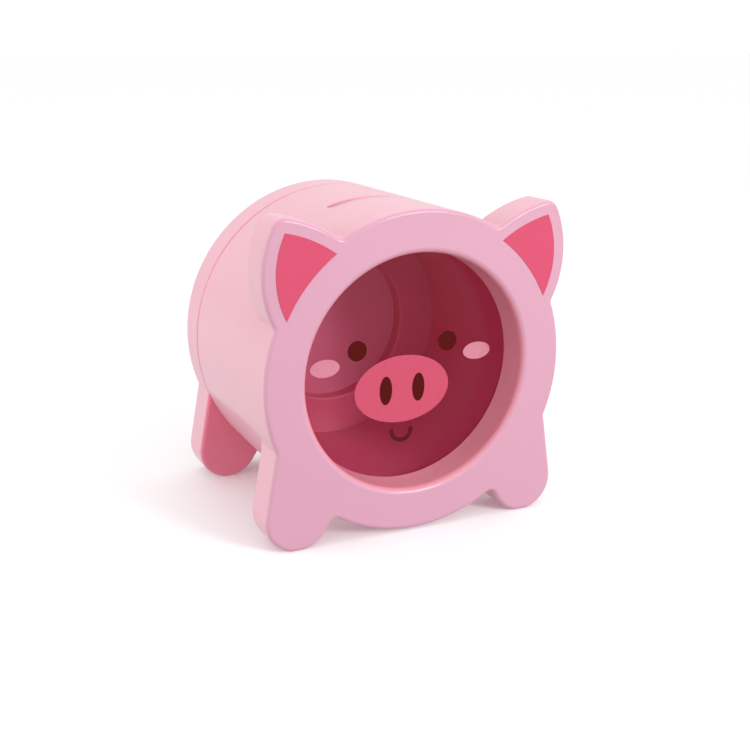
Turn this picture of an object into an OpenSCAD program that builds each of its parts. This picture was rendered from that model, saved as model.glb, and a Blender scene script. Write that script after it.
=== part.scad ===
// Pig money box built from layers of painted board, seen from the front along +Y.
// X runs to the right, Y to the back and Z up; the origin is on the table under the middle of the box.

/* [Board layers] */
// Thickness of the front and rear panels
panel_t = 15.6; // [12:0.1:20]
// Thickness of each of the four rings of the barrel
ring_t = 15.6; // [12:0.1:20]

/* [Barrel] */
// Outside diameter of the barrel and of the panels' discs
barrel_d = 125; // [110:1:150]
// Bore of the barrel
bore_d = 99; // [88:1:104]
// Small rounding of the barrel's rear rim, which makes the groove in front of the rear panel
rim_r = 0.7; // [0.3:0.1:1.2]

/* [Front opening] */
// Diameter of the round opening in the front panel
opening_d = 92; // [78:1:94]
// Rounding of the opening's front edge
opening_edge_r = 2.4; // [1:0.1:4]

/* [Window pane] */
// Thickness of the clear pane
pane_t = 2; // [1.5:0.1:3]
// How far the pane laps behind the edge of the opening
pane_lap = 4.8; // [3.6:0.1:5.5]
// Least lap of the barrel's front ring behind the pane, which holds the pane in
pane_grip = 1.3; // [1:0.1:3]
// Gap round the pane and behind it
pane_gap = 0.2; // [0.1:0.05:0.4]

/* [Ears] */
// Radius of the ear's upper edge
ear_top_r = 56.7; // [50:0.1:62]
// Radius of the ear's outer edge
ear_side_r = 40.9; // [36:0.1:46]
// Radius of the ear's tip
ear_tip_r = 5.2; // [3:0.1:8]

/* [Feet] */
// Radius of the round end of each foot
foot_r = 13; // [10:0.1:15]
// Width of the sanded flat under each foot
foot_flat_w = 5; // [3:0.5:8]
// Radius of the thigh above each foot
thigh_r = 17.6; // [14:0.1:20]
// Radius of the hollows where ears and feet meet the disc
notch_r = 2.4; // [1.5:0.1:4]

/* [Coin slot] */
// Length of the coin slot along X
slot_l = 41.6; // [30:0.1:50]
// Width of the coin slot
slot_w = 5; // [4.6:0.1:6]

/* [Emptying hole and plug] */
// Diameter of the emptying hole inside the rear panel
empty_d = 66.6; // [50:0.1:72]
// Width of the step that the plug seats on
seat_w = 4.4; // [3:0.1:6]
// Thickness of the plug
plug_t = 9.4; // [7:0.1:11]
// Gap between the plug's rim and its seat
plug_gap = 0.4; // [0.3:0.05:0.8]
// Rounding of the hole's inner edge and of the plug's rear edge
plug_edge_r = 1; // [0.5:0.1:1.5]
// Diameter of the finger notches beside the plug
finger_d = 20; // [16:1:26]

/* [Plug ring] */
// Thickness of the rubber ring round the plug
rubber_d = 2.4; // [1.8:0.1:3]
// Running gap between the rubber ring and the seat's wall
rubber_gap = 0.05; // [0.02:0.01:0.1]

/* [Dowels] */
// Diameter of the dowels that line the layers up
dowel_d = 6; // [5:0.5:8]
// Depth of the dowel holes in the two panels
dowel_sink = 9; // [6:0.5:11]
// Gap at each end of a dowel
dowel_end_gap = 0.5; // [0.2:0.1:1]
// Least wood between a dowel and the recess of the pane
dowel_wall = 2; // [1.5:0.1:3]

/* [Printed face] */
// Thickness of each layer of ink
ink_t = 0.2; // [0.15:0.05:0.3]
// Half width of the snout
snout_rx = 20.5; // [17:0.1:24]
// Half height of the snout
snout_rz = 13.5; // [11:0.1:16]
// Height of the snout's middle over the middle of the barrel
snout_z = -9.9; // [-14:0.1:-6]
// Half width of a nostril
nostril_rx = 2.6; // [2:0.1:3.4]
// Half height of a nostril
nostril_rz = 5.7; // [4:0.1:7]
// Distance of a nostril from the middle line
nostril_x = 7.1; // [5:0.1:9]
// Radius of an eye
eye_r = 4; // [3:0.1:5]
// Distance of an eye's middle from the middle of its cheek, along X
eye_cheek = 13.4; // [11:0.1:16]
// Height of the eyes over the middle of the barrel
eye_z = 7.4; // [5:0.1:11]
// Half width of a cheek
cheek_rx = 6.1; // [5:0.1:7]
// Half height of a cheek
cheek_rz = 3.5; // [2.5:0.1:4.5]
// Distance from a cheek's outer end to the level of the opening's side
cheek_edge = 6.9; // [5:0.1:10]
// Height of the cheeks over the middle of the barrel
cheek_z = 2; // [0:0.1:5]
// Radius of the mouth's curve at the middle of its line
mouth_r = 4.2; // [3:0.1:5.5]
// Width of the mouth's line
mouth_w = 1.7; // [1:0.1:2.4]
// Height of the mouth's corners over the middle of the barrel
mouth_z = -26.7; // [-28:0.1:-25.5]
// Distance from the ear's edge to the colour printed on it
ear_print_inset = 5.3; // [4:0.1:7]
// Distance from the disc's edge to the colour printed on the ears
ear_print_root = 3; // [2:0.1:5]

/* [Hidden] */
$fn = 96;

eps = 1;                        // overshoot of every cut
hair = 0.01;                    // extra radius of a hollow's cut, so that its ends meet the discs at an angle
ring_count = 4;                 // rings in the barrel
slot_ring_index = 1;            // the slot is in the second ring
fine = 120;                     // segments of a full circle in the outlines

barrel_r = barrel_d / 2;
bore_r = bore_d / 2;
opening_r = opening_d / 2;
empty_r = empty_d / 2;

// Places of the ears and feet, as offsets from points on the disc's edge
ear_angle = 47;
foot_angle = -46;
ear_root = barrel_r * [cos(ear_angle), sin(ear_angle)];
foot_root = barrel_r * [cos(foot_angle), sin(foot_angle)];
ear_top_c = ear_root + [22.1, -38.9] + (ear_top_r - 56.7) * [0.2, -1];
ear_side_c = ear_root + [-20.4, -3.8] + (ear_side_r - 40.9) * [-1, 0];
foot_c = foot_root + [5.5, -5.6];
thigh_c = foot_root + [-2.7, 15.8];

// Height of the barrel's middle: the feet stand on their sanded flats
foot_flat_drop = sqrt(foot_r * foot_r - foot_flat_w * foot_flat_w / 4);
axis_h = foot_flat_drop - foot_c[1];

// Stations along Y, with the middle of the whole depth at zero
depth = 2 * panel_t + ring_count * ring_t;
front_y = -depth / 2;
ring_y = front_y + panel_t;
rear_panel_y = ring_y + ring_count * ring_t;
rear_y = depth / 2;
slot_y = ring_y + (slot_ring_index + 0.5) * ring_t;

rebate_r = max(opening_r + pane_lap, bore_r + pane_grip) + pane_gap;
rebate_t = pane_t + pane_gap;
pane_r = rebate_r - pane_gap;
pane_front_y = ring_y - rebate_t;

seat_r = empty_r + seat_w;
plug_r = seat_r - plug_gap;
plug_y = rear_y - plug_t;
ring_groove_r = seat_r - rubber_gap - rubber_d;

dowel_angles = [45, 135, 225, 315];
dowel_pitch_r = max((barrel_r + bore_r) / 2, rebate_r + dowel_wall + dowel_d / 2);

cheek_x = opening_r - cheek_edge - cheek_rx;
eye_x = cheek_x - eye_cheek;

// One of the two points at distance r1 from c1 and r2 from c2; side picks the left or right one
function meet(c1, r1, c2, r2, side) =
    let (gap = norm(c2 - c1), u = (c2 - c1) / gap, along = (gap * gap + r1 * r1 - r2 * r2) / (2 * gap))
    c1 + along * u + side * sqrt(r1 * r1 - along * along) * [-u[1], u[0]];

function unit(v) = v / norm(v);

// Outward directions in which straight edges touch both the thigh's and the foot's circles
leg_along = unit(foot_c - thigh_c);
leg_lean = (thigh_r - foot_r) / norm(foot_c - thigh_c);
leg_across = [-leg_along[1], leg_along[0]];
outer_n = leg_lean * leg_along + sqrt(1 - leg_lean * leg_lean) * leg_across;
inner_n = leg_lean * leg_along - sqrt(1 - leg_lean * leg_lean) * leg_across;

// Middle of the ear's round tip, and of the hollows beside ears and feet
ear_tip_c = meet(ear_top_c, ear_top_r - ear_tip_r, ear_side_c, ear_side_r - ear_tip_r, -1);
hollow_r = barrel_r + notch_r;
ear_top_hollow = meet([0, 0], hollow_r, ear_top_c, ear_top_r + notch_r, 1);
ear_side_hollow = meet([0, 0], hollow_r, ear_side_c, ear_side_r + notch_r, -1);
thigh_hollow = meet([0, 0], hollow_r, thigh_c, thigh_r + notch_r, 1);
inner_reach = inner_n * foot_c + foot_r + notch_r;
inner_t = [-inner_n[1], inner_n[0]];
foot_hollow = inner_reach * inner_n + sqrt(hollow_r * hollow_r - inner_reach * inner_reach) * inner_t;

// Puts a shape drawn in the plane of the boards upright: its height runs along +Y from y
module upright(y) translate([0, y, axis_h]) rotate([90, 0, 0]) mirror([0, 0, 1]) children();

module mirrored() for (side = [0, 1]) mirror([side, 0]) children();

// A disc of the boards' thickness
module disc(c, r) translate(c) cylinder(h = panel_t, r = r, $fn = fine);

// A flat piece of the boards' thickness with straight sides
module slab(corners) linear_extrude(panel_t) polygon(corners);

// The thigh, the foot and the straight part between them
module leg() {
    disc(thigh_c, thigh_r);
    disc(foot_c, foot_r);
    slab([
        thigh_c + thigh_r * outer_n,
        foot_c + foot_r * outer_n,
        foot_c + foot_r * inner_n,
        thigh_c + thigh_r * inner_n,
    ]);
}

// What two discs share, up to the tip, and a small disc there that touches both
module ear() {
    to_top = ear_tip_r * unit(ear_tip_c - ear_top_c);
    to_side = ear_tip_r * unit(ear_tip_c - ear_side_c);
    beyond = ear_tip_c + 3 * ear_tip_r * unit(ear_tip_c);
    difference() {
        intersection() {
            disc(ear_top_c, ear_top_r);
            disc(ear_side_c, ear_side_r);
        }
        translate([0, 0, -eps]) scale([1, 1, 2]) slab([
            ear_tip_c,
            ear_tip_c + 2 * to_top,
            beyond + to_top,
            beyond + to_side,
            ear_tip_c + 2 * to_side,
        ]);
    }
    disc(ear_tip_c, ear_tip_r);
}

// Fills the corner between the disc and a neighbour, leaving a round hollow about c
module hollow(c, neighbour) {
    to_disc = -3 * notch_r * unit(c);
    to_neighbour = 3 * notch_r * unit(neighbour - c);
    difference() {
        slab([c, c + to_disc, c + 1.8 * (to_disc + to_neighbour), c + to_neighbour]);
        translate([c[0], c[1], -eps]) cylinder(h = panel_t + 2 * eps, r = notch_r + hair, $fn = fine);
    }
}

// A board cut to the disc with two legs and, if asked, two ears, standing on flats at table height
module board(y, ears) {
    difference() {
        upright(y) {
            disc([0, 0], barrel_r);
            mirrored() {
                leg();
                hollow(thigh_hollow, thigh_c);
                hollow(foot_hollow, foot_hollow - inner_n);
                if (ears) {
                    ear();
                    hollow(ear_top_hollow, ear_top_c);
                    hollow(ear_side_hollow, ear_side_c);
                }
            }
        }
        translate([-barrel_d, front_y - eps, -foot_r]) cube([2 * barrel_d, depth + 2 * eps, foot_r]);
    }
}

// Cuts a hole of radius r from y to y + length, whose edge at y is rounded outwards by edge
module rounded_hole(y, length, r, edge) {
    upright(y) rotate_extrude() difference() {
        translate([0, -eps]) square([r + edge, length + 2 * eps]);
        translate([r + edge, edge]) circle(edge);
        translate([r, edge]) square([2 * edge, length + 2 * eps]);
    }
}

module dowel_holes(y, length) {
    for (angle = dowel_angles) {
        upright(y) rotate([0, 0, angle]) translate([dowel_pitch_r, 0, 0]) cylinder(h = length, d = dowel_d);
    }
}

module front_panel() {
    color([0.89, 0.66, 0.75]) difference() {
        board(front_y, true);
        rounded_hole(front_y, panel_t, opening_r, opening_edge_r);
        upright(pane_front_y) cylinder(h = rebate_t + eps, r = rebate_r);
        dowel_holes(ring_y - dowel_sink, dowel_sink + eps);
    }
}

module window_pane() {
    color([0.85, 0.92, 0.95, 0.35]) upright(pane_front_y) cylinder(h = pane_t, r = pane_r);
}

// One ring of the barrel, counted from the front
module body_ring(index, rear_edge = 0) {
    y = ring_y + index * ring_t;
    color([0.92, 0.71, 0.75]) difference() {
        upright(y) union() {
            cylinder(h = ring_t - rear_edge, r = barrel_r, $fn = fine);
            if (rear_edge > 0) {
                translate([0, 0, ring_t - rear_edge])
                    cylinder(h = rear_edge, r1 = barrel_r, r2 = barrel_r - rear_edge, $fn = fine);
            }
        }
        upright(y - eps) cylinder(h = ring_t + 2 * eps, r = bore_r);
        dowel_holes(y - eps, ring_t + 2 * eps);
    }
}

module body_ring_front() body_ring(0);

module slot_ring() {
    end_x = (slot_l - slot_w) / 2;
    difference() {
        body_ring(slot_ring_index);
        translate([0, slot_y, axis_h]) {
            translate([-end_x, -slot_w / 2, 0]) cube([2 * end_x, slot_w, barrel_r + eps]);
            for (x = [-end_x, end_x]) translate([x, 0, 0]) cylinder(h = barrel_r + eps, d = slot_w);
        }
    }
}

module body_ring_middle() body_ring(2);

module body_ring_rear() body_ring(3, rim_r);

module rear_panel() {
    color([0.85, 0.45, 0.53]) difference() {
        board(rear_panel_y, false);
        rounded_hole(rear_panel_y, panel_t, empty_r, plug_edge_r);
        upright(plug_y) cylinder(h = plug_t + eps, r = seat_r);
        upright(plug_y) for (x = [-seat_r, seat_r]) translate([x, 0, 0]) cylinder(h = plug_t + eps, d = finger_d);
        dowel_holes(rear_panel_y - eps, dowel_sink + eps);
    }
}

module locating_dowels() {
    y = ring_y - dowel_sink + dowel_end_gap;
    color([0.85, 0.7, 0.5]) dowel_holes(y, ring_count * ring_t + 2 * (dowel_sink - dowel_end_gap));
}

module rear_plug() {
    groove_y = (plug_t - rubber_d) / 2;
    color([0.89, 0.66, 0.75]) upright(plug_y) difference() {
        union() {
            cylinder(h = plug_t - plug_edge_r, r = plug_r);
            translate([0, 0, plug_t - plug_edge_r])
                cylinder(h = plug_edge_r, r1 = plug_r, r2 = plug_r - plug_edge_r);
        }
        rotate_extrude() translate([ring_groove_r, groove_y]) square([2 * rubber_d, rubber_d]);
    }
}

// The rubber ring: flat against the floor of the plug's groove and round outside
module plug_ring() {
    color([0.16, 0.14, 0.15]) upright(plug_y + plug_t / 2) rotate_extrude() {
        translate([ring_groove_r, -rubber_d / 2]) square([rubber_d / 2, rubber_d]);
        translate([ring_groove_r + rubber_d / 2, 0]) circle(rubber_d / 2);
    }
}

module ellipse(rx, ry) polygon([for (angle = [0 : 4 : 356]) [rx * cos(angle), ry * sin(angle)]]);

// A layer of ink in front of the plane y, with below the number of layers under it
module ink(y, below = 0) upright(y - (below + 1) * ink_t) linear_extrude(ink_t) children();

module snout_print() {
    color([0.87, 0.36, 0.46]) ink(pane_front_y) translate([0, snout_z]) ellipse(snout_rx, snout_rz);
}

module nostril_prints() {
    color([0.31, 0.11, 0.09]) ink(pane_front_y, 1) {
        mirrored() translate([nostril_x, snout_z]) ellipse(nostril_rx, nostril_rz);
    }
}

module eye_prints() {
    color([0.35, 0.1, 0.08]) ink(pane_front_y) mirrored() translate([eye_x, eye_z]) circle(eye_r);
}

module cheek_prints() {
    color([0.89, 0.6, 0.68]) ink(pane_front_y) {
        mirrored() translate([cheek_x, cheek_z]) ellipse(cheek_rx, cheek_rz);
    }
}

module mouth_print() {
    color([0.45, 0.08, 0.07]) ink(pane_front_y) translate([0, mouth_z]) {
        intersection() {
            difference() {
                circle(mouth_r + mouth_w / 2);
                circle(mouth_r - mouth_w / 2);
            }
            translate([-2 * mouth_r, -2 * mouth_r]) square([4 * mouth_r, 2 * mouth_r]);
        }
        for (x = [-mouth_r, mouth_r]) translate([x, 0]) circle(mouth_w / 2);
    }
}

module ear_prints() {
    color([0.89, 0.33, 0.45]) ink(front_y) mirrored() difference() {
        intersection() {
            translate(ear_top_c) circle(ear_top_r - ear_print_inset, $fn = fine);
            translate(ear_side_c) circle(ear_side_r - ear_print_inset, $fn = fine);
        }
        circle(barrel_r - ear_print_root, $fn = fine);
    }
}

front_panel();
window_pane();
body_ring_front();
slot_ring();
body_ring_middle();
body_ring_rear();
rear_panel();
locating_dowels();
rear_plug();
plug_ring();
snout_print();
nostril_prints();
eye_prints();
cheek_prints();
mouth_print();
ear_prints();
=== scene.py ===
"""A painted wooden pig money box.

A round barrel of glued rings stands between two sawn boards. The front one has a window with a
printed face, and the rear one has an emptying hole with a plug that pulls out.
"""

from __future__ import annotations

import logging
import math
from dataclasses import dataclass, field
from enum import Enum
from typing import Iterable

import bmesh
import bpy
from mathutils import Euler, Matrix, Vector

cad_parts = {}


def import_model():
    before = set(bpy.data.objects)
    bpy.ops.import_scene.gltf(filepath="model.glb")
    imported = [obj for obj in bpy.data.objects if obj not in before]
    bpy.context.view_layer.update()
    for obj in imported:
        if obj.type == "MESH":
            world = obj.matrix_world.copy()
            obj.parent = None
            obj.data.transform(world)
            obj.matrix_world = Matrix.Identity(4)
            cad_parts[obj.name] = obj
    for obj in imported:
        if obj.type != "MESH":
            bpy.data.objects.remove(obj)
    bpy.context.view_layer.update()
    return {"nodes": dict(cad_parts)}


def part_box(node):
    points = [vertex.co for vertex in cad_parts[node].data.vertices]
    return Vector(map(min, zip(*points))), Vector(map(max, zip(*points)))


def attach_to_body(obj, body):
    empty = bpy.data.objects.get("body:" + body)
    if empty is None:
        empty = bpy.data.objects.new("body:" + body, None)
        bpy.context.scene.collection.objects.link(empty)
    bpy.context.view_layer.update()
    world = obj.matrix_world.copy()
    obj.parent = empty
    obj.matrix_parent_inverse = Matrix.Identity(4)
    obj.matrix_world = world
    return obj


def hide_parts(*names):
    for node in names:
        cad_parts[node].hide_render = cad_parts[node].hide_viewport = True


LOG = logging.getLogger("money_box")

MM = 0.001
HAIR = 0.001 * MM  # two points nearer than this are the same in a flat profile
WELD = 0.002 * MM  # points nearer than this are joined in a finished mesh
OUTLINE_WELD = 0.01 * MM  # points nearer than this are joined in a sawn outline
SHARP_ANGLE = math.radians(32)  # past this angle between faces an edge is shaded sharp
Y_AXIS = Vector((0, 1, 0))
Z_AXIS = Vector((0, 0, 1))

Colour = tuple[float, float, float]

PINK: Colour = (0.78, 0.415, 0.49)
LILAC: Colour = (0.61, 0.302, 0.412)
ROSE: Colour = (0.85, 0.19, 0.29)
# Painted shade: a deeper, redder pink for the wall of the window's opening, standing for the shade inside the
# opening.
WALL_SHADE_PINK: Colour = (0.7, 0.25, 0.32)
PLUG_ROSE: Colour = (0.88, 0.24, 0.42)
RASPBERRY: Colour = (0.8, 0.12, 0.26)
SNOUT_ROSE: Colour = (0.59, 0.088, 0.152)
EAR_ROSE: Colour = (0.64, 0.085, 0.16)
BROWN: Colour = (0.082, 0.004, 0.003)
BLUSH: Colour = (0.63, 0.245, 0.31)
MOUTH_RED: Colour = (0.09, 0.010, 0.008)
BLACK_RUBBER: Colour = (0.025, 0.022, 0.023)
BEECH: Colour = (0.62, 0.43, 0.25)
PANE_TINT: Colour = (0.93, 0.90, 0.91)
WHITE: Colour = (1.0, 1.0, 1.0)


# ---------------------------------------------------------------- shader maths


class Signal:
    """A socket that carries a number, with Python's operators standing for Math nodes."""

    def __init__(self, graph: Graph, socket: bpy.types.NodeSocket) -> None:
        """Wraps a socket.

        Args:
            graph: the node graph that the socket belongs to.
            socket: the output socket.
        """
        self.graph = graph
        self.socket = socket

    def _math(self, operation: str, *terms: Signal | float) -> Signal:
        """Adds one Math node and returns its result as a signal."""
        node = self.graph.node("ShaderNodeMath", {"operation": operation}, dict(enumerate(terms)))
        return Signal(self.graph, node.outputs[0])

    def __add__(self, other: Signal | float) -> Signal:
        """Adds."""
        return self._math("ADD", self, other)

    def __radd__(self, other: float) -> Signal:
        """Adds, with the number first."""
        return self._math("ADD", other, self)

    def __sub__(self, other: Signal | float) -> Signal:
        """Subtracts."""
        return self._math("SUBTRACT", self, other)

    def __rsub__(self, other: float) -> Signal:
        """Subtracts this signal from a number."""
        return self._math("SUBTRACT", other, self)

    def __mul__(self, other: Signal | float) -> Signal:
        """Multiplies."""
        return self._math("MULTIPLY", self, other)

    def __rmul__(self, other: float) -> Signal:
        """Multiplies, with the number first."""
        return self._math("MULTIPLY", other, self)

    def root(self) -> Signal:
        """Takes the square root."""
        return self._math("SQRT", self)

    def ramp(self, low: float, high: float) -> Signal:
        """Rises smoothly from 0 at low to 1 at high, or falls where low is the larger.

        Args:
            low: the value that gives 0.
            high: the value that gives 1.

        Returns:
            The eased signal.
        """
        ends = {1: min(low, high), 2: max(low, high), 3: 0.0, 4: 1.0}
        node = self.graph.node("ShaderNodeMapRange", {"interpolation_type": "SMOOTHSTEP"}, {0: self, **ends})
        rising = Signal(self.graph, node.outputs[0])
        return rising if low < high else 1.0 - rising


class Graph:
    """The node graph of one material, or of the room's light."""

    def __init__(self, owner: bpy.types.Material | bpy.types.World) -> None:
        """Empties the owner's graph.

        Args:
            owner: the new material or world.
        """
        owner.use_nodes = True
        self.owner = owner
        self.tree = owner.node_tree
        self.tree.nodes.clear()

    @classmethod
    def of_material(cls, name: str) -> Graph:
        """Makes a material of that name and gives its empty graph."""
        return cls(bpy.data.materials.new(name))

    def node(self, kind: str, settings: dict[str, object], inputs: dict[int | str, object]) -> bpy.types.Node:
        """Adds a node.

        Args:
            kind: Blender's type name of the node.
            settings: the node's own settings, set before its sockets.
            inputs: a value, a signal or an output socket for each named or numbered input.

        Returns:
            The node.
        """
        node = self.tree.nodes.new(kind)
        for key, value in settings.items():
            setattr(node, key, value)
        for key, value in inputs.items():
            source = value.socket if isinstance(value, Signal) else value
            if isinstance(source, bpy.types.NodeSocket):
                self.tree.links.new(source, node.inputs[key])
            else:
                node.inputs[key].default_value = source
        return node

    def place(self) -> bpy.types.NodeSocket:
        """Gives the object's own coordinates, in metres."""
        return self.node("ShaderNodeTexCoord", {}, {}).outputs["Object"]

    def parts(self) -> tuple[Signal, Signal, Signal]:
        """Gives the three object coordinates as signals."""
        split = self.node("ShaderNodeSeparateXYZ", {}, {0: self.place()})
        return tuple(Signal(self, split.outputs[i]) for i in range(3))

    def noise(self, scale: float, detail: float, stretch: tuple[float, float, float] = (1, 1, 1)) -> Signal:
        """Adds a noise pattern.

        Args:
            scale: waves per metre.
            detail: octaves of finer noise.
            stretch: factors on the three coordinates, small along the grain.

        Returns:
            The noise, about 0 to 1.
        """
        mapping = self.node("ShaderNodeMapping", {}, {"Vector": self.place(), "Scale": stretch})
        inputs = {"Vector": mapping.outputs[0], "Scale": scale, "Detail": detail, "Roughness": 0.55}
        return Signal(self, self.node("ShaderNodeTexNoise", {}, inputs).outputs["Fac"])

    def mix(self, factor: Signal, first: object, second: object) -> bpy.types.NodeSocket:
        """Mixes two colours, each given as a colour or a socket.

        Args:
            factor: 0 for the first colour and 1 for the second.
            first: the first colour.
            second: the second colour.

        Returns:
            The mixed colour's socket.
        """
        colours = {
            6: first if isinstance(first, bpy.types.NodeSocket) else (*first, 1.0),
            7: second if isinstance(second, bpy.types.NodeSocket) else (*second, 1.0),
        }
        node = self.node("ShaderNodeMix", {"data_type": "RGBA", "clamp_factor": True}, {0: factor, **colours})
        return node.outputs[2]

    def bump(self, height: Signal, depth: float) -> bpy.types.NodeSocket:
        """Turns a height signal into a bumped normal.

        Args:
            height: the height, about 0 to 1.
            depth: metres between height 0 and height 1.

        Returns:
            The normal's socket.
        """
        inputs = {"Height": height, "Distance": depth, "Strength": 1.0}
        return self.node("ShaderNodeBump", {}, inputs).outputs[0]

    def principled(self, inputs: dict[int | str, object]) -> bpy.types.Material:
        """Joins a Principled shader with these inputs to the output and gives the material."""
        return self.finish(self.node("ShaderNodeBsdfPrincipled", {}, inputs))

    def finish(self, shader: bpy.types.Node) -> bpy.types.Material | bpy.types.World:
        """Joins a shader to the output and gives the material or world."""
        is_world = isinstance(self.owner, bpy.types.World)
        output = "ShaderNodeOutputWorld" if is_world else "ShaderNodeOutputMaterial"
        self.node(output, {}, {"Surface": shader.outputs[0]})
        return self.owner


# -------------------------------------------------------------------- finishes


class Side(Enum):
    """On which side of its border a coat of paint lies."""

    INSIDE = "inside"
    FRONT = "front"
    BACK = "back"


@dataclass(frozen=True)
class Coat:
    """A coat of another colour on one side of a border.

    The border is a distance from the barrel's axis for INSIDE, and a station along Y for FRONT and BACK.
    """

    colour: Colour
    side: Side
    border: float
    width: float = 1.0 * MM

    def mask(self, graph: Graph, axis_height: float) -> Signal:
        """Gives 1 where the coat lies and 0 elsewhere.

        Args:
            graph: the material's graph.
            axis_height: the height of the barrel's axis.

        Returns:
            The mask.
        """
        x, y, z = graph.parts()
        if self.side is Side.FRONT:
            return y.ramp(self.border + self.width, self.border)
        if self.side is Side.BACK:
            return y.ramp(self.border, self.border + self.width)
        rise = z - axis_height
        return (x * x + rise * rise).root().ramp(self.border + self.width, self.border)


@dataclass(frozen=True)
class Paint:
    """Satin paint sprayed on fine-grained wood, with further coats laid over parts of it."""

    name: str
    main: Colour
    axis_height: float
    coats: tuple[Coat, ...] = ()
    grain: tuple[float, float, float] = (0.06, 1.0, 1.0)
    roughness: float = 0.42
    ior: float = 1.42
    coat_weight: float = 0.35
    coat_roughness: float = 0.1
    relief: float = 0.012 * MM

    def build(self) -> bpy.types.Material:
        """Makes the material."""
        graph = Graph.of_material(self.name)
        cloud = graph.noise(26.0, 3.0)
        peel = graph.noise(900.0, 2.0)
        grain = graph.noise(420.0, 4.0, self.grain)
        colour: object = self.main
        for coat in self.coats:
            colour = graph.mix(coat.mask(graph, self.axis_height), colour, coat.colour)
        deeper = graph.mix(cloud.ramp(0.35, 0.8) * 0.08, colour, tuple(0.6 * c for c in self.main))
        toned = graph.mix(grain.ramp(0.62, 0.82) * 0.05, deeper, tuple(0.5 * c for c in self.main))
        height = peel * 0.55 + grain * 0.45
        return graph.principled({
            "Base Color": toned,
            "Roughness": self.roughness + 0.06 * cloud + 0.03 * peel,
            "IOR": self.ior,
            "Coat Weight": self.coat_weight,
            "Coat Roughness": self.coat_roughness,
            "Normal": graph.bump(height, self.relief),
        })


@dataclass(frozen=True)
class Ink:
    """Screen-printed ink: even colour with a faint mottle and a slightly uneven sheen."""

    name: str
    colour: Colour
    roughness: float = 0.42
    ior: float = 1.15
    relief: float = 0.006 * MM

    def build(self) -> bpy.types.Material:
        """Makes the material."""
        graph = Graph.of_material(self.name)
        mottle = graph.noise(700.0, 3.0)
        cloud = graph.noise(60.0, 2.0)
        deeper = tuple(0.86 * c for c in self.colour)
        return graph.principled({
            "Base Color": graph.mix(mottle.ramp(0.4, 0.75) * 0.35 + cloud * 0.2, self.colour, deeper),
            "Roughness": self.roughness + 0.1 * mottle,
            "IOR": self.ior,
            "Normal": graph.bump(mottle, self.relief),
        })


@dataclass(frozen=True)
class ClearPane:
    """Polished acrylic: see-through, with a mirror sheen that grows towards grazing angles."""

    name: str
    tint: Colour
    roughness: float = 0.03
    ior: float = 1.12

    def build(self) -> bpy.types.Material:
        """Makes the material."""
        graph = Graph.of_material(self.name)
        clear = graph.node("ShaderNodeBsdfTransparent", {}, {"Color": (*self.tint, 1.0)})
        mirror = {"Color": (*WHITE, 1.0), "Roughness": self.roughness}
        gloss = graph.node("ShaderNodeBsdfAnisotropic", {}, mirror)
        fresnel = graph.node("ShaderNodeFresnel", {}, {"IOR": self.ior})
        mixed = {0: fresnel.outputs[0], 1: clear.outputs[0], 2: gloss.outputs[0]}
        return graph.finish(graph.node("ShaderNodeMixShader", {}, mixed))


@dataclass(frozen=True)
class Rubber:
    """Matt black rubber with a fine moulded texture."""

    name: str
    colour: Colour
    relief: float = 0.02 * MM

    def build(self) -> bpy.types.Material:
        """Makes the material."""
        graph = Graph.of_material(self.name)
        fine = graph.noise(1800.0, 3.0)
        dust = graph.noise(150.0, 3.0)
        dusty = tuple(2.4 * c for c in self.colour)
        return graph.principled({
            "Base Color": graph.mix(dust.ramp(0.55, 0.8) * 0.5, self.colour, dusty),
            "Roughness": 0.62 + 0.2 * fine,
            "Normal": graph.bump(fine, self.relief),
        })


@dataclass(frozen=True)
class BareWood:
    """Bare turned beech, with its grain along Y."""

    name: str
    colour: Colour
    relief: float = 0.08 * MM

    def build(self) -> bpy.types.Material:
        """Makes the material."""
        graph = Graph.of_material(self.name)
        grain = graph.noise(260.0, 5.0, (1.0, 0.05, 1.0))
        flecks = graph.noise(1500.0, 2.0, (1.0, 0.12, 1.0))
        darker = tuple(0.55 * c for c in self.colour)
        return graph.principled({
            "Base Color": graph.mix(grain.ramp(0.35, 0.7) * 0.7 + flecks * 0.2, self.colour, darker),
            "Roughness": 0.6 + 0.15 * grain,
            "Normal": graph.bump(grain * 0.6 + flecks * 0.4, self.relief),
        })


# ------------------------------------------------------------------ mesh tools


def signed_turn(centre: Vector, start: Vector, end: Vector, normal: Vector) -> float:
    """Gives the turn about a centre from one point to another, at most half a turn either way.

    Args:
        centre: the centre of the turn.
        start: the first point.
        end: the last point.
        normal: the axis, which settles the sign by the right-hand rule.

    Returns:
        The turn in radians.
    """
    a, b = start - centre, end - centre
    return math.atan2(normal.dot(a.cross(b)), a.dot(b))


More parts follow.
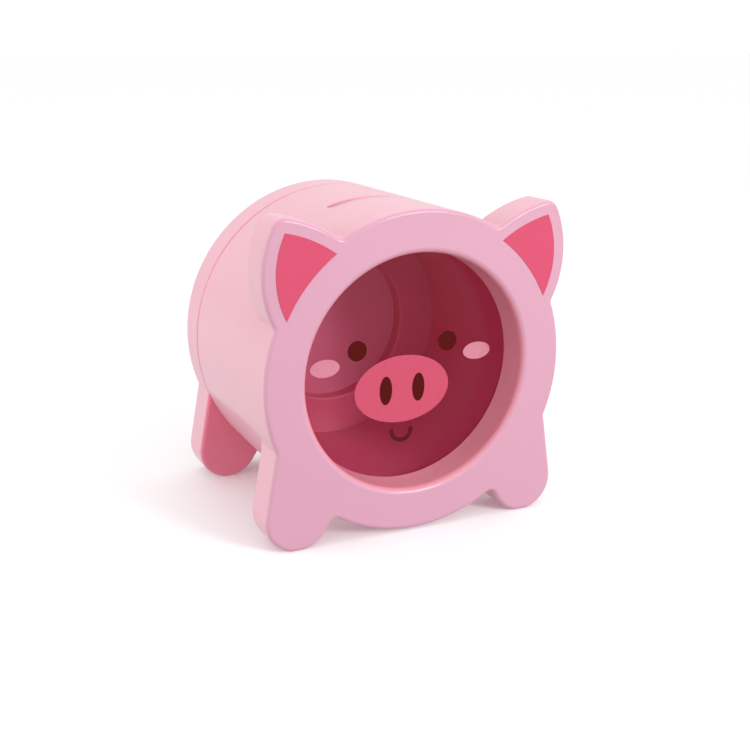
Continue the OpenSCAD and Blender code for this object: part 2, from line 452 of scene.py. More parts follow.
class Tracer:
    """Draws a chain of edges in a plane by spinning and extruding its last vertex."""

    def __init__(
        self, mesh: bmesh.types.BMesh, start: Vector, normal: Vector = Z_AXIS, step: float = 0.8 * MM
    ) -> None:
        """Starts a chain.

        Args:
            mesh: the mesh that takes the chain.
            start: the first point.
            normal: the plane's normal, Z for a profile that is turned about Y.
            step: the longest piece of an arc.
        """
        self.mesh = mesh
        self.normal = normal
        self.step = step
        self.tip = mesh.verts.new(start)

    def arc(self, centre: Vector, end: Vector) -> None:
        """Goes round a centre to a point, the short way."""
        turn = signed_turn(centre, self.tip.co, end, self.normal)
        length = abs(turn) * (end - centre).length
        steps = max(4, math.ceil(length / self.step))
        spun = bmesh.ops.spin(
            self.mesh, geom=[self.tip], cent=centre, axis=self.normal,
            angle=turn, steps=steps, use_merge=False,
        )
        self.tip = next(part for part in spun["geom_last"] if isinstance(part, bmesh.types.BMVert))
        self.tip.co = end

    def line(self, end: Vector, support: float = 0.25 * MM) -> None:
        """Goes straight to a point, with a support vertex near each end so that shading stays flat."""
        start = self.tip.co.copy()
        run = end - start
        stops = [support / run.length, 1 - support / run.length] if run.length > 4 * support else []
        for share in (*stops, 1.0):
            grown = bmesh.ops.extrude_vert_indiv(self.mesh, verts=[self.tip])
            self.tip = grown["verts"][0]
            self.tip.co = start + share * run

    def lines(self, *ends: Vector) -> None:
        """Goes straight from point to point."""
        for end in ends:
            self.line(end)


def spin_solid(mesh: bmesh.types.BMesh, axis_point: Vector, steps: int) -> None:
    """Turns everything in the mesh once round an axis along Y and joins the seam.

    Args:
        mesh: the mesh, which holds only the profile.
        axis_point: a point on the axis.
        steps: how many flats the turn has.
    """
    profile = [*mesh.verts, *mesh.edges]
    bmesh.ops.spin(
        mesh, geom=profile, cent=axis_point, axis=Y_AXIS, angle=math.tau, steps=steps, use_merge=True
    )
    bmesh.ops.remove_doubles(mesh, verts=mesh.verts, dist=WELD)


def raise_faces(mesh: bmesh.types.BMesh, faces: Iterable[bmesh.types.BMFace], by: Vector) -> None:
    """Extrudes flat faces into a block.

    Args:
        mesh: the mesh that holds the faces.
        faces: the faces.
        by: how far and which way they move.
    """
    grown = bmesh.ops.extrude_face_region(mesh, geom=faces)
    moved = [part for part in grown["geom"] if isinstance(part, bmesh.types.BMVert)]
    bmesh.ops.translate(mesh, verts=moved, vec=by)


def shade(mesh: bmesh.types.BMesh) -> None:
    """Shades a mesh smooth, with its sharper edges left sharp."""
    for face in mesh.faces:
        face.smooth = True
    for edge in mesh.edges:
        edge.smooth = not (len(edge.link_faces) == 2 and edge.calc_face_angle() > SHARP_ANGLE)


def to_piece(name: str, mesh: bmesh.types.BMesh) -> bpy.types.Object:
    """Closes a mesh, points its faces outwards, shades it and makes it a piece.

    Args:
        name: the piece's name.
        mesh: the finished mesh, which is freed.

    Returns:
        The piece's object.
    """
    bmesh.ops.remove_doubles(mesh, verts=mesh.verts, dist=WELD)
    bmesh.ops.recalc_face_normals(mesh, faces=mesh.faces)
    shade(mesh)
    data = bpy.data.meshes.new(name)
    mesh.to_mesh(data)
    mesh.free()
    piece = bpy.data.objects.new(name, data)
    bpy.context.scene.collection.objects.link(piece)
    return piece


def cut(piece: bpy.types.Object, cutters: list[bpy.types.Object]) -> bmesh.types.BMesh:
    """Cuts solids out of a piece, and removes them.

    Args:
        piece: the piece, whose own mesh stays as it was.
        cutters: closed solids.

    Returns:
        The cut mesh, to be finished and written back with write_back.
    """
    for cutter in cutters:
        boolean = piece.modifiers.new(cutter.name, "BOOLEAN")
        boolean.operation = "DIFFERENCE"
        boolean.solver = "EXACT"
        boolean.object = cutter
    bpy.context.view_layer.update()
    evaluated = piece.evaluated_get(bpy.context.evaluated_depsgraph_get())
    mesh = bmesh.new()
    mesh.from_mesh(evaluated.to_mesh())
    piece.modifiers.clear()
    for cutter in cutters:
        bpy.data.objects.remove(cutter)
    return mesh


def write_back(piece: bpy.types.Object, mesh: bmesh.types.BMesh) -> None:
    """Shades a cut mesh and makes it the piece's own."""
    shade(mesh)
    mesh.to_mesh(piece.data)
    mesh.free()


def at_station(edges: Iterable[bmesh.types.BMEdge], y: float) -> list[bmesh.types.BMEdge]:
    """Gives the edges that lie in the plane at a station along Y."""
    return [e for e in edges if all(abs(v.co.y - y) < HAIR for v in e.verts)]


# --------------------------------------------------------------- sub-assemblies


@dataclass
class Frame:
    """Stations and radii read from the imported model."""

    axis_height: float
    barrel_r: float
    front_y: float
    ring_y: float
    rear_panel_y: float
    rear_y: float
    pane_front_y: float
    plug_y: float
    plug_r: float

    @classmethod
    def read(cls) -> Frame:
        """Reads the stations and radii from the nodes' boxes."""
        front_low, front_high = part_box("front_panel")
        ring_low, ring_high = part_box("body_ring_front")
        rear_low, rear_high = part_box("rear_panel")
        plug_low, plug_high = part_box("rear_plug")
        return cls(
            axis_height=(ring_low.z + ring_high.z) / 2,
            barrel_r=(ring_high.x - ring_low.x) / 2,
            front_y=front_low.y,
            ring_y=front_high.y,
            rear_panel_y=rear_low.y,
            rear_y=rear_high.y,
            pane_front_y=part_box("window_pane")[0].y,
            plug_y=plug_low.y,
            plug_r=(plug_high.x - plug_low.x) / 2,
        )

    def at(self, x: float, height: float, y: float) -> Vector:
        """Gives the point at x, a height over the barrel's axis, and a station along Y."""
        return Vector((x, y, self.axis_height + height))


@dataclass(frozen=True)
class Round:
    """A circle in the plane of a board, placed from the barrel's axis."""

    x: float
    height: float
    radius: float

    def point(self) -> Vector:
        """Gives the centre as a flat vector."""
        return Vector((self.x, self.height))

    def grown(self, by: float) -> Round:
        """Gives the circle with a larger radius."""
        return Round(self.x, self.height, self.radius + by)

    def moved(self, by: Vector) -> Round:
        """Gives the circle at another place."""
        return Round(self.x + by.x, self.height + by.y, self.radius)

    def meets(self, other: Round, side: int) -> Vector:
        """Gives one of the two points where this circle crosses another.

        Args:
            other: the other circle.
            side: 1 for the point on the left of the line to the other circle and -1 for the right.

        Returns:
            The point.
        """
        gap = other.point() - self.point()
        along = (gap.length_squared + self.radius**2 - other.radius**2) / (2 * gap.length)
        across = math.sqrt(self.radius**2 - along**2)
        unit = gap.normalized()
        return self.point() + along * unit + side * across * Vector((-unit.y, unit.x))

    def touch(self, other: Round) -> Vector:
        """Gives the point of this circle that lies towards, or away from, a circle that touches it."""
        gap = other.point() - self.point()
        inside = gap.length < max(self.radius, other.radius)
        outwards = -1 if inside and self.radius < other.radius else 1
        return self.point() + outwards * self.radius * gap.normalized()


@dataclass
class PigOutline:
    """The outline shared by the two boards: a disc with legs and, on the front board, ears.

    The steps give each circle from the point of the disc's edge at the ear's or the foot's angle.
    """

    frame: Frame
    ears: bool
    notch_r: float = 2.4 * MM
    tip_r: float = 5.2 * MM
    flat_w: float = 5.0 * MM
    ear_angle: float = math.radians(47)
    foot_angle: float = math.radians(-46)
    ear_top_step: Round = Round(22.1 * MM, -38.9 * MM, 56.7 * MM)
    ear_side_step: Round = Round(-20.4 * MM, -3.8 * MM, 40.9 * MM)
    thigh_step: Round = Round(-2.7 * MM, 15.8 * MM, 17.6 * MM)
    foot_step: Round = Round(5.5 * MM, -5.6 * MM, 13.0 * MM)
    disc: Round = field(init=False)
    ear_top: Round = field(init=False)
    ear_side: Round = field(init=False)
    thigh: Round = field(init=False)
    foot: Round = field(init=False)

    def __post_init__(self) -> None:
        """Places the circles from the disc's edge."""
        r = self.frame.barrel_r
        ear = r * Vector((math.cos(self.ear_angle), math.sin(self.ear_angle)))
        leg = r * Vector((math.cos(self.foot_angle), math.sin(self.foot_angle)))
        self.disc = Round(0, 0, r)
        self.ear_top, self.ear_side = self.ear_top_step.moved(ear), self.ear_side_step.moved(ear)
        self.thigh, self.foot = self.thigh_step.moved(leg), self.foot_step.moved(leg)

    def hollow(self, neighbour: Round, side: int) -> Round:
        """Gives the round hollow that touches the disc and a neighbouring circle."""
        centre = self.disc.grown(self.notch_r).meets(neighbour.grown(self.notch_r), side)
        return Round(centre.x, centre.y, self.notch_r)

    def leg_normals(self) -> tuple[Vector, Vector]:
        """Gives the outward directions at which straight edges touch both of the leg's circles."""
        gap = self.foot.point() - self.thigh.point()
        along = gap.normalized()
        across = Vector((-along.y, along.x))
        lean = (self.thigh.radius - self.foot.radius) / gap.length
        lift = math.sqrt(1 - lean**2)
        return lean * along + lift * across, lean * along - lift * across

    def trace(self, mesh: bmesh.types.BMesh, y: float) -> None:
        """Draws the closed outline at a station: the right half, then its mirror image.

        Args:
            mesh: an empty mesh.
            y: the station along Y.
        """
        at = self.frame.at
        r = self.disc.radius
        pen = Tracer(mesh, at(0, r, y), Y_AXIS)

        def round_to(circle: Round, end: Vector) -> None:
            """Follows a circle to a point on it."""
            pen.arc(at(circle.x, circle.height, y), at(end.x, end.y, y))

        if self.ears:
            middle = self.ear_top.grown(-self.tip_r).meets(self.ear_side.grown(-self.tip_r), -1)
            tip = Round(middle.x, middle.y, self.tip_r)
            above, below = self.hollow(self.ear_top, 1), self.hollow(self.ear_side, -1)
            round_to(self.disc, self.disc.touch(above))
            round_to(above, above.touch(self.ear_top))
            round_to(self.ear_top, tip.touch(self.ear_top))
            round_to(tip, tip.touch(self.ear_side))
            round_to(self.ear_side, below.touch(self.ear_side))
            round_to(below, self.disc.touch(below))
        outer, inner = self.leg_normals()
        hip = self.hollow(self.thigh, 1)
        round_to(self.disc, self.disc.touch(hip))
        round_to(hip, hip.touch(self.thigh))
        start, end = (c.point() + c.radius * outer for c in (self.thigh, self.foot))
        round_to(self.thigh, start)
        pen.line(at(end.x, end.y, y))
        ground = -self.frame.axis_height
        flat_left, flat_right = (Vector((self.foot.x + s * self.flat_w / 2, ground)) for s in (-1, 1))
        round_to(self.foot, flat_right)
        pen.line(at(flat_left.x, flat_left.y, y))
        round_to(self.foot, self.foot.point() + self.foot.radius * inner)
        reach = inner.dot(self.foot.point()) + self.foot.radius + self.notch_r
        slide = math.sqrt((r + self.notch_r) ** 2 - reach**2)
        crotch_at = reach * inner + slide * Vector((-inner.y, inner.x))
        crotch = Round(crotch_at.x, crotch_at.y, self.notch_r)
        line_end = crotch_at - self.notch_r * inner
        pen.line(at(line_end.x, line_end.y, y))
        round_to(crotch, self.disc.touch(crotch))
        round_to(self.disc, Vector((0, -r)))
        half = [*mesh.verts, *mesh.edges]
        bmesh.ops.mirror(mesh, geom=half, matrix=Matrix(), merge_dist=OUTLINE_WELD, axis="X")
        bmesh.ops.remove_doubles(mesh, verts=mesh.verts, dist=OUTLINE_WELD)


@dataclass
class Board:
    """A sawn board with softly rounded edges and a stepped round hole."""

    name: str
    node: str
    outline: PigOutline
    front_y: float
    back_y: float
    hole: list[tuple[float, float]]
    hole_edge_r: float
    round_back: bool
    edge_r: float = 1.6 * MM
    edge_segments: int = 8
    fade_w: float = 2.0 * MM
    wall_support: float = 2.0 * MM
    face_support: float = 0.35 * MM
    turn_steps: int = 200

    def blank(self, mesh: bmesh.types.BMesh) -> None:
        """Cuts the outline and rounds its edges."""
        self.outline.trace(mesh, self.front_y)
        made = bmesh.ops.contextual_create(mesh, geom=mesh.edges)
        raise_faces(mesh, made["faces"], (self.back_y - self.front_y) * Y_AXIS)
        bmesh.ops.recalc_face_normals(mesh, faces=mesh.faces)
        edges = at_station(mesh.edges, self.front_y)
        if self.round_back:
            edges += at_station(mesh.edges, self.back_y)
        bmesh.ops.bevel(
            mesh, geom=edges, offset=self.edge_r, offset_type="OFFSET", segments=self.edge_segments,
            profile=0.5, affect="EDGES", clamp_overlap=False, material=-1,
        )
        bmesh.ops.remove_doubles(mesh, verts=mesh.verts, dist=WELD)
        if not self.round_back:
            self.fade_back_edge(mesh)

    def fade_back_edge(self, mesh: bmesh.types.BMesh) -> None:
        """Rounds the back edge of ears and feet and leaves it square where it lies flush on the barrel."""
        cap = max(mesh.faces, key=lambda f: f.calc_center_median().y)
        turns = [k / self.edge_segments * math.pi / 2 for k in range(self.edge_segments + 1)]
        reaches = [self.edge_r * (1 - math.cos(turn)) for turn in turns]
        rings = []
        for before, reach in zip(reaches, reaches[1:]):
            band = bmesh.ops.inset_region(mesh, faces=[cap], thickness=reach - before, use_even_offset=True)
            inner = set(cap.verts)
            rings.append({v for face in band["faces"] for v in face.verts} - inner)
        rings.append(set(cap.verts))
        frame = self.outline.frame
        for ring, reach, turn in zip(rings, reaches, turns):
            drop = self.edge_r * (1 - math.sin(turn))
            for vertex in ring:
                away = math.hypot(vertex.co.x, vertex.co.z - frame.axis_height) + reach - frame.barrel_r
                share = min(1.0, max(0.0, away / self.fade_w))
                vertex.co.y -= drop * share * share * (3 - 2 * share)

    def support_walls(self, mesh: bmesh.types.BMesh) -> None:
        """Adds a loop close to each rounded edge on the walls and on the two faces."""
        for y in (self.front_y + self.wall_support, self.back_y - self.wall_support):
            geom = [*mesh.verts, *mesh.edges, *mesh.faces]
            bmesh.ops.bisect_plane(mesh, geom=geom, plane_co=(0, y, 0), plane_no=Y_AXIS, dist=HAIR)
        for cap in sorted(mesh.faces, key=lambda f: -len(f.verts))[:2]:
            bmesh.ops.inset_region(mesh, faces=[cap], thickness=self.face_support, use_even_offset=True)

    def bore_cutter(self) -> bpy.types.Object:
        """Turns the cutter of the stepped hole, which leaves the hole's front edge rounded."""
        at, beyond = self.outline.frame.at, 1.0 * MM
        first_r, edge = self.hole[0][0], self.hole_edge_r
        start = math.radians(3)
        mesh = bmesh.new()
        pen = Tracer(mesh, at(0, 0, self.front_y - beyond), step=0.3 * MM)
        centre = at(first_r + edge, 0, self.front_y + edge)
        arc_from = centre + edge * Vector((-math.sin(start), -math.cos(start), 0))
        pen.lines(at(arc_from.x, 0, self.front_y - beyond), arc_from)
        pen.arc(centre, at(first_r, 0, self.front_y + edge))
        for radius, y in self.hole:
            if abs(pen.tip.co.x - radius) > OUTLINE_WELD:
                pen.line(at(radius, 0, pen.tip.co.y))
            pen.line(at(radius, 0, y + (beyond if y == self.back_y else 0)))
        pen.line(at(0, 0, pen.tip.co.y))
        spin_solid(mesh, at(0, 0, 0), self.turn_steps)
        return to_piece(f"{self.name}_bore", mesh)

    def build(self, cutters: list[bpy.types.Object]) -> bpy.types.Object:
        """Makes the board's piece in place of its CAD node.

        Args:
            cutters: more solids to cut away, besides the hole.

        Returns:
            The piece.
        """
        mesh = bmesh.new()
        self.blank(mesh)
        self.support_walls(mesh)
        piece = to_piece(self.name, mesh)
        write_back(piece, cut(piece, [self.bore_cutter(), *cutters]))
        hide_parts(self.node)
        return piece


@dataclass
class Barrel:
    """The four rings of the barrel, pink outside and raspberry inside."""

    frame: Frame
    bore_r: float = 49.5 * MM
    rim_r: float = 0.7 * MM
    slot_l: float = 41.6 * MM
    slot_w: float = 5.0 * MM
    slot_edge_r: float = 0.5 * MM
    coat_depth: float = 2.2 * MM
    turn_steps: int = 240

    def ring_mesh(self, node: str, rear_edge: float) -> bmesh.types.BMesh:
        """Spins one ring from its profile.

        Args:
            node: the CAD node that gives the ring's two ends.
            rear_edge: the rounding of the outer edge at the back, 0 for none.

        Returns:
            The closed ring.
        """
        low, high = (corner.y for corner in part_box(node))
        at, outer = self.frame.at, self.frame.barrel_r
        mesh = bmesh.new()
        pen = Tracer(mesh, at(self.bore_r, 0, low), step=0.12 * MM)
        pen.lines(at(outer, 0, low), at(outer, 0, high - rear_edge))
        if rear_edge > 0:
            pen.arc(at(outer - rear_edge, 0, high - rear_edge), at(outer - rear_edge, 0, high))
        pen.lines(at(self.bore_r, 0, high), at(self.bore_r, 0, low))
        bmesh.ops.remove_doubles(mesh, verts=mesh.verts, dist=HAIR)
        spin_solid(mesh, at(0, 0, 0), self.turn_steps)
        bmesh.ops.recalc_face_normals(mesh, faces=mesh.faces)
        return mesh

    def slot_outline(self) -> list[tuple[float, float]]:
        """Goes round the coin slot.

        Returns:
            For each step, the place along X that the wall is measured from and the direction
            outwards in radians.
        """
        end, arc_steps, side_steps = (self.slot_l - self.slot_w) / 2, 24, 40
        outline = []
        for side in (1, -1):
            start = -math.pi / 2 if side > 0 else math.pi / 2
            outline += [(side * end, start + math.pi * step / arc_steps) for step in range(arc_steps + 1)]
            outline += [
                (side * end * (1 - 2 * step / side_steps), start + math.pi) for step in range(1, side_steps)
            ]
        return outline

    def slot_cutter(self, middle: float) -> bpy.types.Object:
        """Makes the cutter of the coin slot, which flares into the rounded rim along the barrel's skin.

        Args:
            middle: the station along Y of the slot's middle line.

        Returns:
            The cutter's object.
        """
        edge, outer, outline = self.slot_edge_r, self.frame.barrel_r, self.slot_outline()
        mesh = bmesh.new()

        def loop(spread: float, sink: float, flat: float | None = None) -> list[bmesh.types.BMVert]:
            """Adds the slot's outline, grown by spread, at a depth under the skin or at a flat height."""
            reach = self.slot_w / 2 + spread
            made = []
            for centre, turn in outline:
                x = centre + reach * math.cos(turn)
                height = math.sqrt(outer**2 - x**2) - sink if flat is None else flat
                made.append(mesh.verts.new(self.frame.at(x, height, middle + reach * math.sin(turn))))
            return made

        loops = [loop(0, 0, 0.7 * self.bore_r)]
        for turn in (math.radians(degrees) for degrees in range(0, 81, 16)):
            loops.append(loop(edge * (1 - math.cos(turn)), edge * (1 - math.sin(turn))))
        loops += [loop(1.15 * edge, -0.15 * edge), loop(1.15 * edge, 0, 1.1 * outer)]
        for lower, upper in zip(loops, loops[1:]):
            for step in range(len(outline)):
                mesh.faces.new((lower[step - 1], lower[step], upper[step], upper[step - 1]))
        mesh.faces.new(loops[0])
        mesh.faces.new(loops[-1])
        bmesh.ops.recalc_face_normals(mesh, faces=mesh.faces)
        return to_piece("slot_cutter", mesh)

    def cut_slot(self, ring: bpy.types.Object) -> None:
        """Cuts the coin slot with its rounded rim through a ring."""
        low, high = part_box("slot_ring")
        mesh = cut(ring, [self.slot_cutter((low.y + high.y) / 2)])
        bmesh.ops.recalc_face_normals(mesh, faces=mesh.faces)
        write_back(ring, mesh)

    def build(self) -> list[bpy.types.Object]:
        """Makes the four rings in place of their CAD nodes."""
        inside = Coat(RASPBERRY, Side.INSIDE, self.frame.barrel_r - self.coat_depth)
        along_y = (1.0, 0.08, 1.0)
        paint = Paint("pink_raspberry_paint", PINK, self.frame.axis_height, (inside,), along_y).build()
        pieces = []
        for node in ("body_ring_front", "slot_ring", "body_ring_middle", "body_ring_rear"):
            rear_edge = self.rim_r if node == "body_ring_rear" else 0.0
            ring = to_piece(f"{node}_turned", self.ring_mesh(node, rear_edge))
            if node == "slot_ring":
                self.cut_slot(ring)
            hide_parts(node)
            pieces.append(attach(ring, "box", paint))
        return pieces


@dataclass
class FrontBoard:
    """The pig's face: the front board with ears, feet and the window's opening."""

    frame: Frame
    opening_r: float = 46.0 * MM
    opening_edge_r: float = 2.4 * MM
    rebate_r: float = 51.0 * MM

    def build(self) -> list[bpy.types.Object]:
        """Makes the front board, with its face in lilac and painted shade as a deeper pink on its opening's
        wall.
        """
        frame = self.frame
        board = Board(
            name="front_board",
            node="front_panel",
            outline=PigOutline(frame, ears=True),
            front_y=frame.front_y,
            back_y=frame.ring_y,
            hole=[(self.opening_r, frame.pane_front_y), (self.rebate_r, frame.ring_y)],
            hole_edge_r=self.opening_edge_r,
            round_back=False,
        )
        face = Coat(LILAC, Side.FRONT, frame.front_y + 0.1 * MM, width=1.4 * MM)
        # The opening's wall gets a deeper pink: painted shade inside the opening.
        wall = Coat(WALL_SHADE_PINK, Side.INSIDE, self.opening_r + 0.3 * MM, width=1.5 * MM)
        paint = Paint("lilac_pink_paint_and_wall_shade", PINK, frame.axis_height, (face, wall)).build()
        return [attach(board.build([]), "box", paint)]


@dataclass
class RearBoard:
    """The rear board with its hind feet, the emptying hole and the plug's seat."""

    frame: Frame
    hole_r: float = 33.3 * MM
    hole_edge_r: float = 1.0 * MM
    seat_r: float = 37.7 * MM
    finger_r: float = 10.0 * MM
    coat_depth: float = 6.0 * MM

    def notch_cutter(self, side: int) -> bpy.types.Object:
        """Makes the round cutter of one finger notch.

        Args:
            side: -1 for the left notch and 1 for the right one.

        Returns:
            The cutter's object.
        """
        frame = self.frame
        mesh = bmesh.new()
        upright = Matrix.Rotation(math.pi / 2, 4, "X")
        place = Matrix.Translation(frame.at(side * self.seat_r, 0, frame.plug_y)) @ upright
        bmesh.ops.create_circle(mesh, cap_ends=True, segments=72, radius=self.finger_r, matrix=place)
        raise_faces(mesh, mesh.faces, 2 * (frame.rear_y - frame.plug_y) * Y_AXIS)
        return to_piece(f"notch_cutter_{side}", mesh)

    def build(self) -> list[bpy.types.Object]:
        """Makes the rear board: rose in front, raspberry inside the barrel, pink behind."""
        frame = self.frame
        board = Board(
            name="rear_board",
            node="rear_panel",
            outline=PigOutline(frame, ears=False),
            front_y=frame.rear_panel_y,
            back_y=frame.rear_y,
            hole=[(self.hole_r, frame.plug_y), (self.seat_r, frame.rear_y)],
            hole_edge_r=self.hole_edge_r,
            round_back=True,
        )
        piece = board.build([self.notch_cutter(side) for side in (-1, 1)])
        front = Coat(ROSE, Side.FRONT, frame.rear_panel_y + 0.3 * MM, width=1.2 * MM)
        inside = Coat(RASPBERRY, Side.INSIDE, frame.barrel_r - self.coat_depth)
        back = Coat(PINK, Side.BACK, frame.plug_y + 0.4 * MM, width=0.6 * MM)
        paint = Paint("rose_pink_paint", PINK, frame.axis_height, (front, inside, back)).build()
        return [attach(piece, "box", paint)]


@dataclass
class Plug:
    """The round plug that closes the emptying hole, with its rubber ring."""

    frame: Frame
    edge_r: float = 1.0 * MM
    ring_d: float = 2.4 * MM
    groove_r: float = 35.25 * MM
    turn_steps: int = 180

    def disc(self) -> bpy.types.Object:
        """Turns the plug with its rounded rear edge and the ring's groove."""
        frame, at = self.frame, self.frame.at
        front, back, r = frame.plug_y, frame.rear_y, frame.plug_r
        middle = (front + back) / 2
        mesh = bmesh.new()
        groove_front, groove_back = middle - self.ring_d / 2, middle + self.ring_d / 2
        pen = Tracer(mesh, at(0, 0, front), step=0.15 * MM)
        pen.lines(at(r, 0, front), at(r, 0, groove_front), at(self.groove_r, 0, groove_front))
        pen.lines(at(self.groove_r, 0, groove_back), at(r, 0, groove_back), at(r, 0, back - self.edge_r))
        pen.arc(at(r - self.edge_r, 0, back - self.edge_r), at(r - self.edge_r, 0, back))
        pen.line(at(0, 0, back))
        spin_solid(mesh, at(0, 0, 0), self.turn_steps)
        return to_piece("plug_disc", mesh)

    def rubber(self) -> bpy.types.Object:
        """Turns the rubber ring: flat inside against the groove and round outside."""
        at = self.frame.at
        middle = (self.frame.plug_y + self.frame.rear_y) / 2
        half = self.ring_d / 2
        mesh = bmesh.new()
        pen = Tracer(mesh, at(self.groove_r, 0, middle - half), step=0.2 * MM)
        pen.line(at(self.groove_r + half, 0, middle - half))
        pen.arc(at(self.groove_r + half, 0, middle), at(self.groove_r + 2 * half, 0, middle))
        pen.arc(at(self.groove_r + half, 0, middle), at(self.groove_r + half, 0, middle + half))
        pen.lines(at(self.groove_r, 0, middle + half), at(self.groove_r, 0, middle - half))
        bmesh.ops.remove_doubles(mesh, verts=mesh.verts, dist=HAIR)
        spin_solid(mesh, at(0, 0, 0), self.turn_steps)
        return to_piece("plug_rubber", mesh)

    def build(self) -> list[bpy.types.Object]:
        """Makes the plug and its ring, which ride on the plug's body."""
        disc, rubber = self.disc(), self.rubber()
        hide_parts("rear_plug")
        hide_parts("plug_ring")
        inner = Coat(PLUG_ROSE, Side.FRONT, self.frame.plug_y + 1.0 * MM)
        paint = Paint("plug_paint", PINK, self.frame.axis_height, (inner,)).build()
        black = Rubber("black_rubber", BLACK_RUBBER).build()
        return [attach(disc, "plug", paint), attach(rubber, "plug", black)]


@dataclass
class Window:
    """The clear pane and the face that is printed on its front."""

    frame: Frame
    edge_r: float = 0.2 * MM
    turn_steps: int = 180

    def pane(self) -> bpy.types.Object:
        """Turns the pane with its edges just broken."""
        low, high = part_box("window_pane")
        at, r = self.frame.at, (high.x - low.x) / 2
        mesh = bmesh.new()
        pen = Tracer(mesh, at(0, 0, low.y), step=0.08 * MM)
        pen.line(at(r - self.edge_r, 0, low.y))
        pen.arc(at(r - self.edge_r, 0, low.y + self.edge_r), at(r, 0, low.y + self.edge_r))
        pen.line(at(r, 0, high.y - self.edge_r))
        pen.arc(at(r - self.edge_r, 0, high.y - self.edge_r), at(r - self.edge_r, 0, high.y))
        pen.line(at(0, 0, high.y))
        spin_solid(mesh, at(0, 0, 0), self.turn_steps)
        return to_piece("clear_pane", mesh)

    def build(self, nodes: dict[str, bpy.types.Object]) -> list[bpy.types.Object]:
        """Makes the pane and inks the CAD nodes of the printed face and ears.

        Args:
            nodes: the CAD nodes by name.

        Returns:
            The pane and the inked nodes.
        """
        pane = self.pane()
        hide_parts("window_pane")
        acrylic = ClearPane("clear_acrylic", PANE_TINT).build()
        pieces = [attach(pane, "box", acrylic)]
        inks = {
            Ink("rose_ink", SNOUT_ROSE): ("snout_print",),
            Ink("ear_ink", EAR_ROSE): ("ear_prints",),
            Ink("brown_ink", BROWN): ("eye_prints", "nostril_prints"),
            Ink("blush_ink", BLUSH): ("cheek_prints",),
            Ink("red_ink", MOUTH_RED): ("mouth_print",),
        }
        for ink, names in inks.items():
            material = ink.build()
            for name in names:
                dress(nodes[name], material)
                pieces.append(nodes[name])
        return pieces


# ----------------------------------------------------------------------- stage


@dataclass(frozen=True)
class Lamp:
    """A square soft lamp that points at the middle of the box."""

    name: str
    place: tuple[float, float, float]
    size: float
    power: float
    colour: Colour = WHITE

    def hang(self, aim_height: float) -> None:
        """Hangs the lamp in the scene.

        Args:
            aim_height: the height of the point on the Z axis that it lights.
        """
        data = bpy.data.lights.new(self.name, "AREA")
        data.shape = "SQUARE"
        data.size = self.size
        data.energy = self.power
        data.color = self.colour
        lamp = bpy.data.objects.new(self.name, data)
        lamp.location = self.place
        aim = Vector((0, 0, aim_height)) - Vector(self.place)
        lamp.rotation_euler = aim.to_track_quat("-Z", "Y").to_euler()
        bpy.context.scene.collection.objects.link(lamp)


KEY = Lamp("key", (0.42, -0.80, 0.40), 0.30, 5.0, (1.0, 0.99, 0.98))
FILL = Lamp("fill", (-1.15, 0.10, 0.35), 0.80, 4.0)


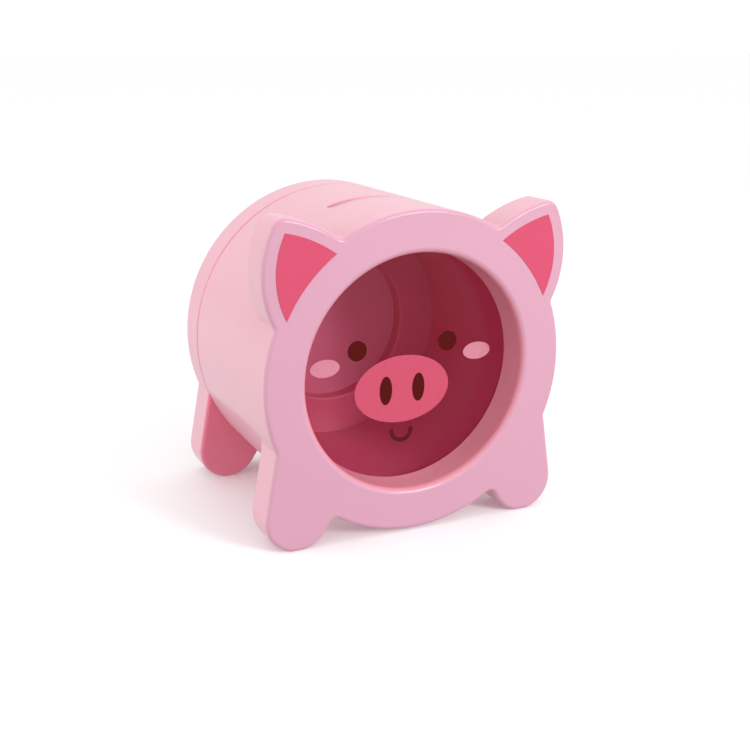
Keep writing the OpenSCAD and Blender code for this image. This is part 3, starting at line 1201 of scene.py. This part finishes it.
@dataclass
class Studio:
    """A pale floor, soft lamps and the camera."""

    frame: Frame
    camera_at: Vector = field(default_factory=lambda: Vector((-0.1943, -0.3913, 0.1858)))
    camera_turn: float = math.radians(-22.53)
    camera_dip: float = math.radians(12.97)
    lens: float = 52.36
    shift: tuple[float, float] = (0.1092, -0.1125)
    light_above: float = 1.02
    light_below: float = 0.55
    wall_light: float = 1.2
    floor_half: float = 12.0

    def camera(self) -> None:
        """Places the camera a little to the left of the face and above it."""
        data = bpy.data.cameras.new("camera")
        data.lens = self.lens
        data.sensor_width = 36.0
        data.shift_x, data.shift_y = self.shift
        data.clip_start = 0.01
        camera = bpy.data.objects.new("camera", data)
        camera.location = self.camera_at
        camera.rotation_euler = Euler((math.pi / 2 - self.camera_dip, 0, self.camera_turn), "XYZ")
        bpy.context.scene.collection.objects.link(camera)
        bpy.context.scene.camera = camera

    def floor(self) -> None:
        """Lays the pale floor."""
        mesh = bmesh.new()
        bmesh.ops.create_grid(mesh, x_segments=1, y_segments=1, size=self.floor_half)
        data = bpy.data.meshes.new("floor")
        mesh.to_mesh(data)
        mesh.free()
        floor = bpy.data.objects.new("floor", data)
        bpy.context.scene.collection.objects.link(floor)
        graph = Graph.of_material("floor_white")
        cloud = graph.noise(3.0, 2.0)
        white = graph.principled({
            "Base Color": graph.mix(cloud * 0.3, (0.98, 0.98, 0.98), (0.97, 0.97, 0.97)),
            "Roughness": 0.75 + 0.1 * cloud,
        })
        dress(floor, white)
        floor.visible_diffuse = False

    def world(self) -> None:
        """Fills the room with even white light, dimmer from below, against a white wall."""
        graph = Graph(bpy.data.worlds.new("room"))
        aim = graph.node("ShaderNodeTexCoord", {}, {}).outputs["Generated"]
        rise = Signal(graph, graph.node("ShaderNodeSeparateXYZ", {}, {0: aim}).outputs[2])
        strength = self.light_below + (self.light_above - self.light_below) * rise.ramp(-0.2, 0.2)
        room = graph.node("ShaderNodeBackground", {}, {"Color": (*WHITE, 1.0), "Strength": strength})
        wall = graph.node("ShaderNodeBackground", {}, {"Color": (*WHITE, 1.0), "Strength": self.wall_light})
        seen = graph.node("ShaderNodeLightPath", {}, {}).outputs["Is Camera Ray"]
        inputs = {0: seen, 1: room.outputs[0], 2: wall.outputs[0]}
        bpy.context.scene.world = graph.finish(graph.node("ShaderNodeMixShader", {}, inputs))
        bpy.context.scene.view_settings.view_transform = "Standard"

    def build(self) -> None:
        """Sets the whole stage."""
        self.camera()
        self.floor()
        self.world()
        for lamp in (KEY, FILL):
            lamp.hang(self.frame.axis_height)


# ------------------------------------------------------------------------ main


def dress(piece: bpy.types.Object, material: bpy.types.Material) -> None:
    """Gives a piece one material all over."""
    piece.data.materials.clear()
    piece.data.materials.append(material)


def attach(piece: bpy.types.Object, body: str, material: bpy.types.Material) -> bpy.types.Object:
    """Dresses a piece and lets it ride on a body.

    Args:
        piece: the finished piece.
        body: the body that it moves with.
        material: its material.

    Returns:
        The piece.
    """
    dress(piece, material)
    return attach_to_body(piece, body)


def main() -> None:
    """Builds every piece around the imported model."""
    logging.basicConfig(level=logging.INFO)
    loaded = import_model()
    nodes = loaded["nodes"]
    frame = Frame.read()
    Studio(frame).build()
    pieces = [
        *FrontBoard(frame).build(),
        *Barrel(frame).build(),
        *RearBoard(frame).build(),
        *Plug(frame).build(),
        *Window(frame).build(nodes),
    ]
    dress(nodes["locating_dowels"], BareWood("bare_beech", BEECH).build())
    pieces.append(nodes["locating_dowels"])
    for piece in pieces:
        LOG.info("%s: %d faces", piece.name, len(piece.data.polygons))
    bpy.context.view_layer.update()
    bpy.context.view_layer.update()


if __name__ == "__main__":
    main()
